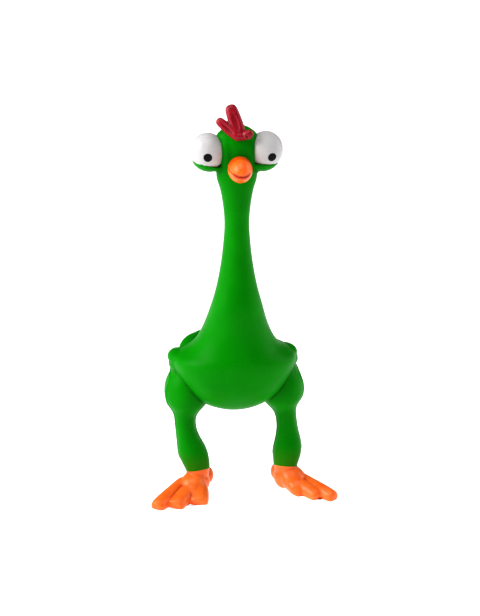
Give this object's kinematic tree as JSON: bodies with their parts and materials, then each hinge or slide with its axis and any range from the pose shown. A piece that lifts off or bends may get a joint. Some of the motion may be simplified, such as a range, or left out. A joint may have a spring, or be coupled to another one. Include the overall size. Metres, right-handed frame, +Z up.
{
  "type": "rubber chicken",
  "caption": "Standing hollow rubber chicken with long bendable neck, big round eyes, springy legs and a squeaker under its squeezable belly.",
  "frame": {"origin": "on the floor, at the middle of the object's footprint box", "axes": "+Z up from the soles to the comb, -Y the way the bird faces, +X the bird's own left side"},
  "size_m": [0.0996, 0.0625, 0.2138],
  "materials": {
    "skin": "satin green latex, moulded in its colour, one soft sheen",
    "comb_paint": "crimson rubber paint, darker in the folds",
    "beak_paint": "glossy orange rubber paint",
    "foot_paint": "glossy orange rubber paint, rubbed at the edges of the toes",
    "eye_paint": "glossy off-white rubber paint",
    "pupil_paint": "glossy black rubber paint",
    "squeaker_plastic": "moulded natural polyethylene",
    "reed": "thin translucent film"
  },
  "bodies": {
    "torso": {"torso_shell": "skin", "neck_root_sleeve": "skin", "squeaker_cup": "squeaker_plastic", "squeaker_plate": "squeaker_plastic", "squeaker_cap": "squeaker_plastic"},
    "belly_wall": {"belly_panel": "skin"},
    "neck": {"neck_lower": "skin", "neck_mid_sleeve": "skin"},
    "upper_neck": {"neck_upper": "skin", "nape_sleeve": "skin"},
    "head": {"head_shell": "skin", "comb": "comb_paint", "upper_beak": "beak_paint", "lower_beak": "beak_paint", "left_eyeball": "eye_paint", "right_eyeball": "eye_paint", "left_pupil": "pupil_paint", "right_pupil": "pupil_paint"},
    "left_leg": {"left_thigh": "skin", "left_shin": "skin", "left_ankle": "skin"},
    "right_leg": {"right_thigh": "skin", "right_shin": "skin", "right_ankle": "skin"},
    "left_toes": {"left_foot": "foot_paint"},
    "right_toes": {"right_foot": "foot_paint"},
    "reed": {"squeaker_reed": "reed"}
  },
  "joints": [
    {"name": "neck_bow", "type": "hinge", "parent": "torso", "child": "neck", "pos_m": [0, -0.012, 0.1125], "axis": [1, 0, 0], "range_deg": [-25, 35], "stiffness_Nm_per_rad": 0.25, "deforming": ["neck_root_sleeve"]},
    {"name": "neck_sway", "type": "hinge", "parent": "neck", "child": "upper_neck", "pos_m": [0, -0.012, 0.138], "axis": [0, 1, 0], "range_deg": [-35, 35], "stiffness_Nm_per_rad": 0.15, "deforming": ["neck_mid_sleeve"]},
    {"name": "head_nod", "type": "hinge", "parent": "upper_neck", "child": "head", "pos_m": [0, -0.012, 0.168], "axis": [1, 0, 0], "range_deg": [-30, 35], "stiffness_Nm_per_rad": 0.12, "deforming": ["nape_sleeve"]},
    {"name": "left_hip", "type": "hinge", "parent": "torso", "child": "left_leg", "pos_m": [0.022, -0.0015, 0.066], "axis": [1, 0, 0], "range_deg": [-20, 20], "stiffness_Nm_per_rad": 0.6},
    {"name": "right_hip", "type": "hinge", "parent": "torso", "child": "right_leg", "pos_m": [-0.022, -0.0015, 0.066], "axis": [1, 0, 0], "range_deg": [-20, 20], "stiffness_Nm_per_rad": 0.6},
    {"name": "left_ankle_bend", "type": "hinge", "parent": "left_leg", "child": "left_toes", "pos_m": [0.0287, -0.0056, 0.0195], "axis": [1, 0, 0], "range_deg": [-20, 20], "stiffness_Nm_per_rad": 0.5, "deforming": ["left_ankle"]},
    {"name": "right_ankle_bend", "type": "hinge", "parent": "right_leg", "child": "right_toes", "pos_m": [-0.0226, -0.0056, 0.0195], "axis": [1, 0, 0], "range_deg": [-20, 20], "stiffness_Nm_per_rad": 0.5, "deforming": ["right_ankle"]},
    {"name": "belly_squeeze", "type": "slide", "parent": "torso", "child": "belly_wall", "axis": [0, 1, 0], "range_m": [0, 0.008], "stiffness_N_per_m": 400},
    {"name": "reed_flutter", "type": "hinge", "parent": "torso", "child": "reed", "pos_m": [0, 0.002, 0.0531], "axis": [1, 0, 0], "range_deg": [-6, 6], "stiffness_Nm_per_rad": 0.0001}
  ]
}
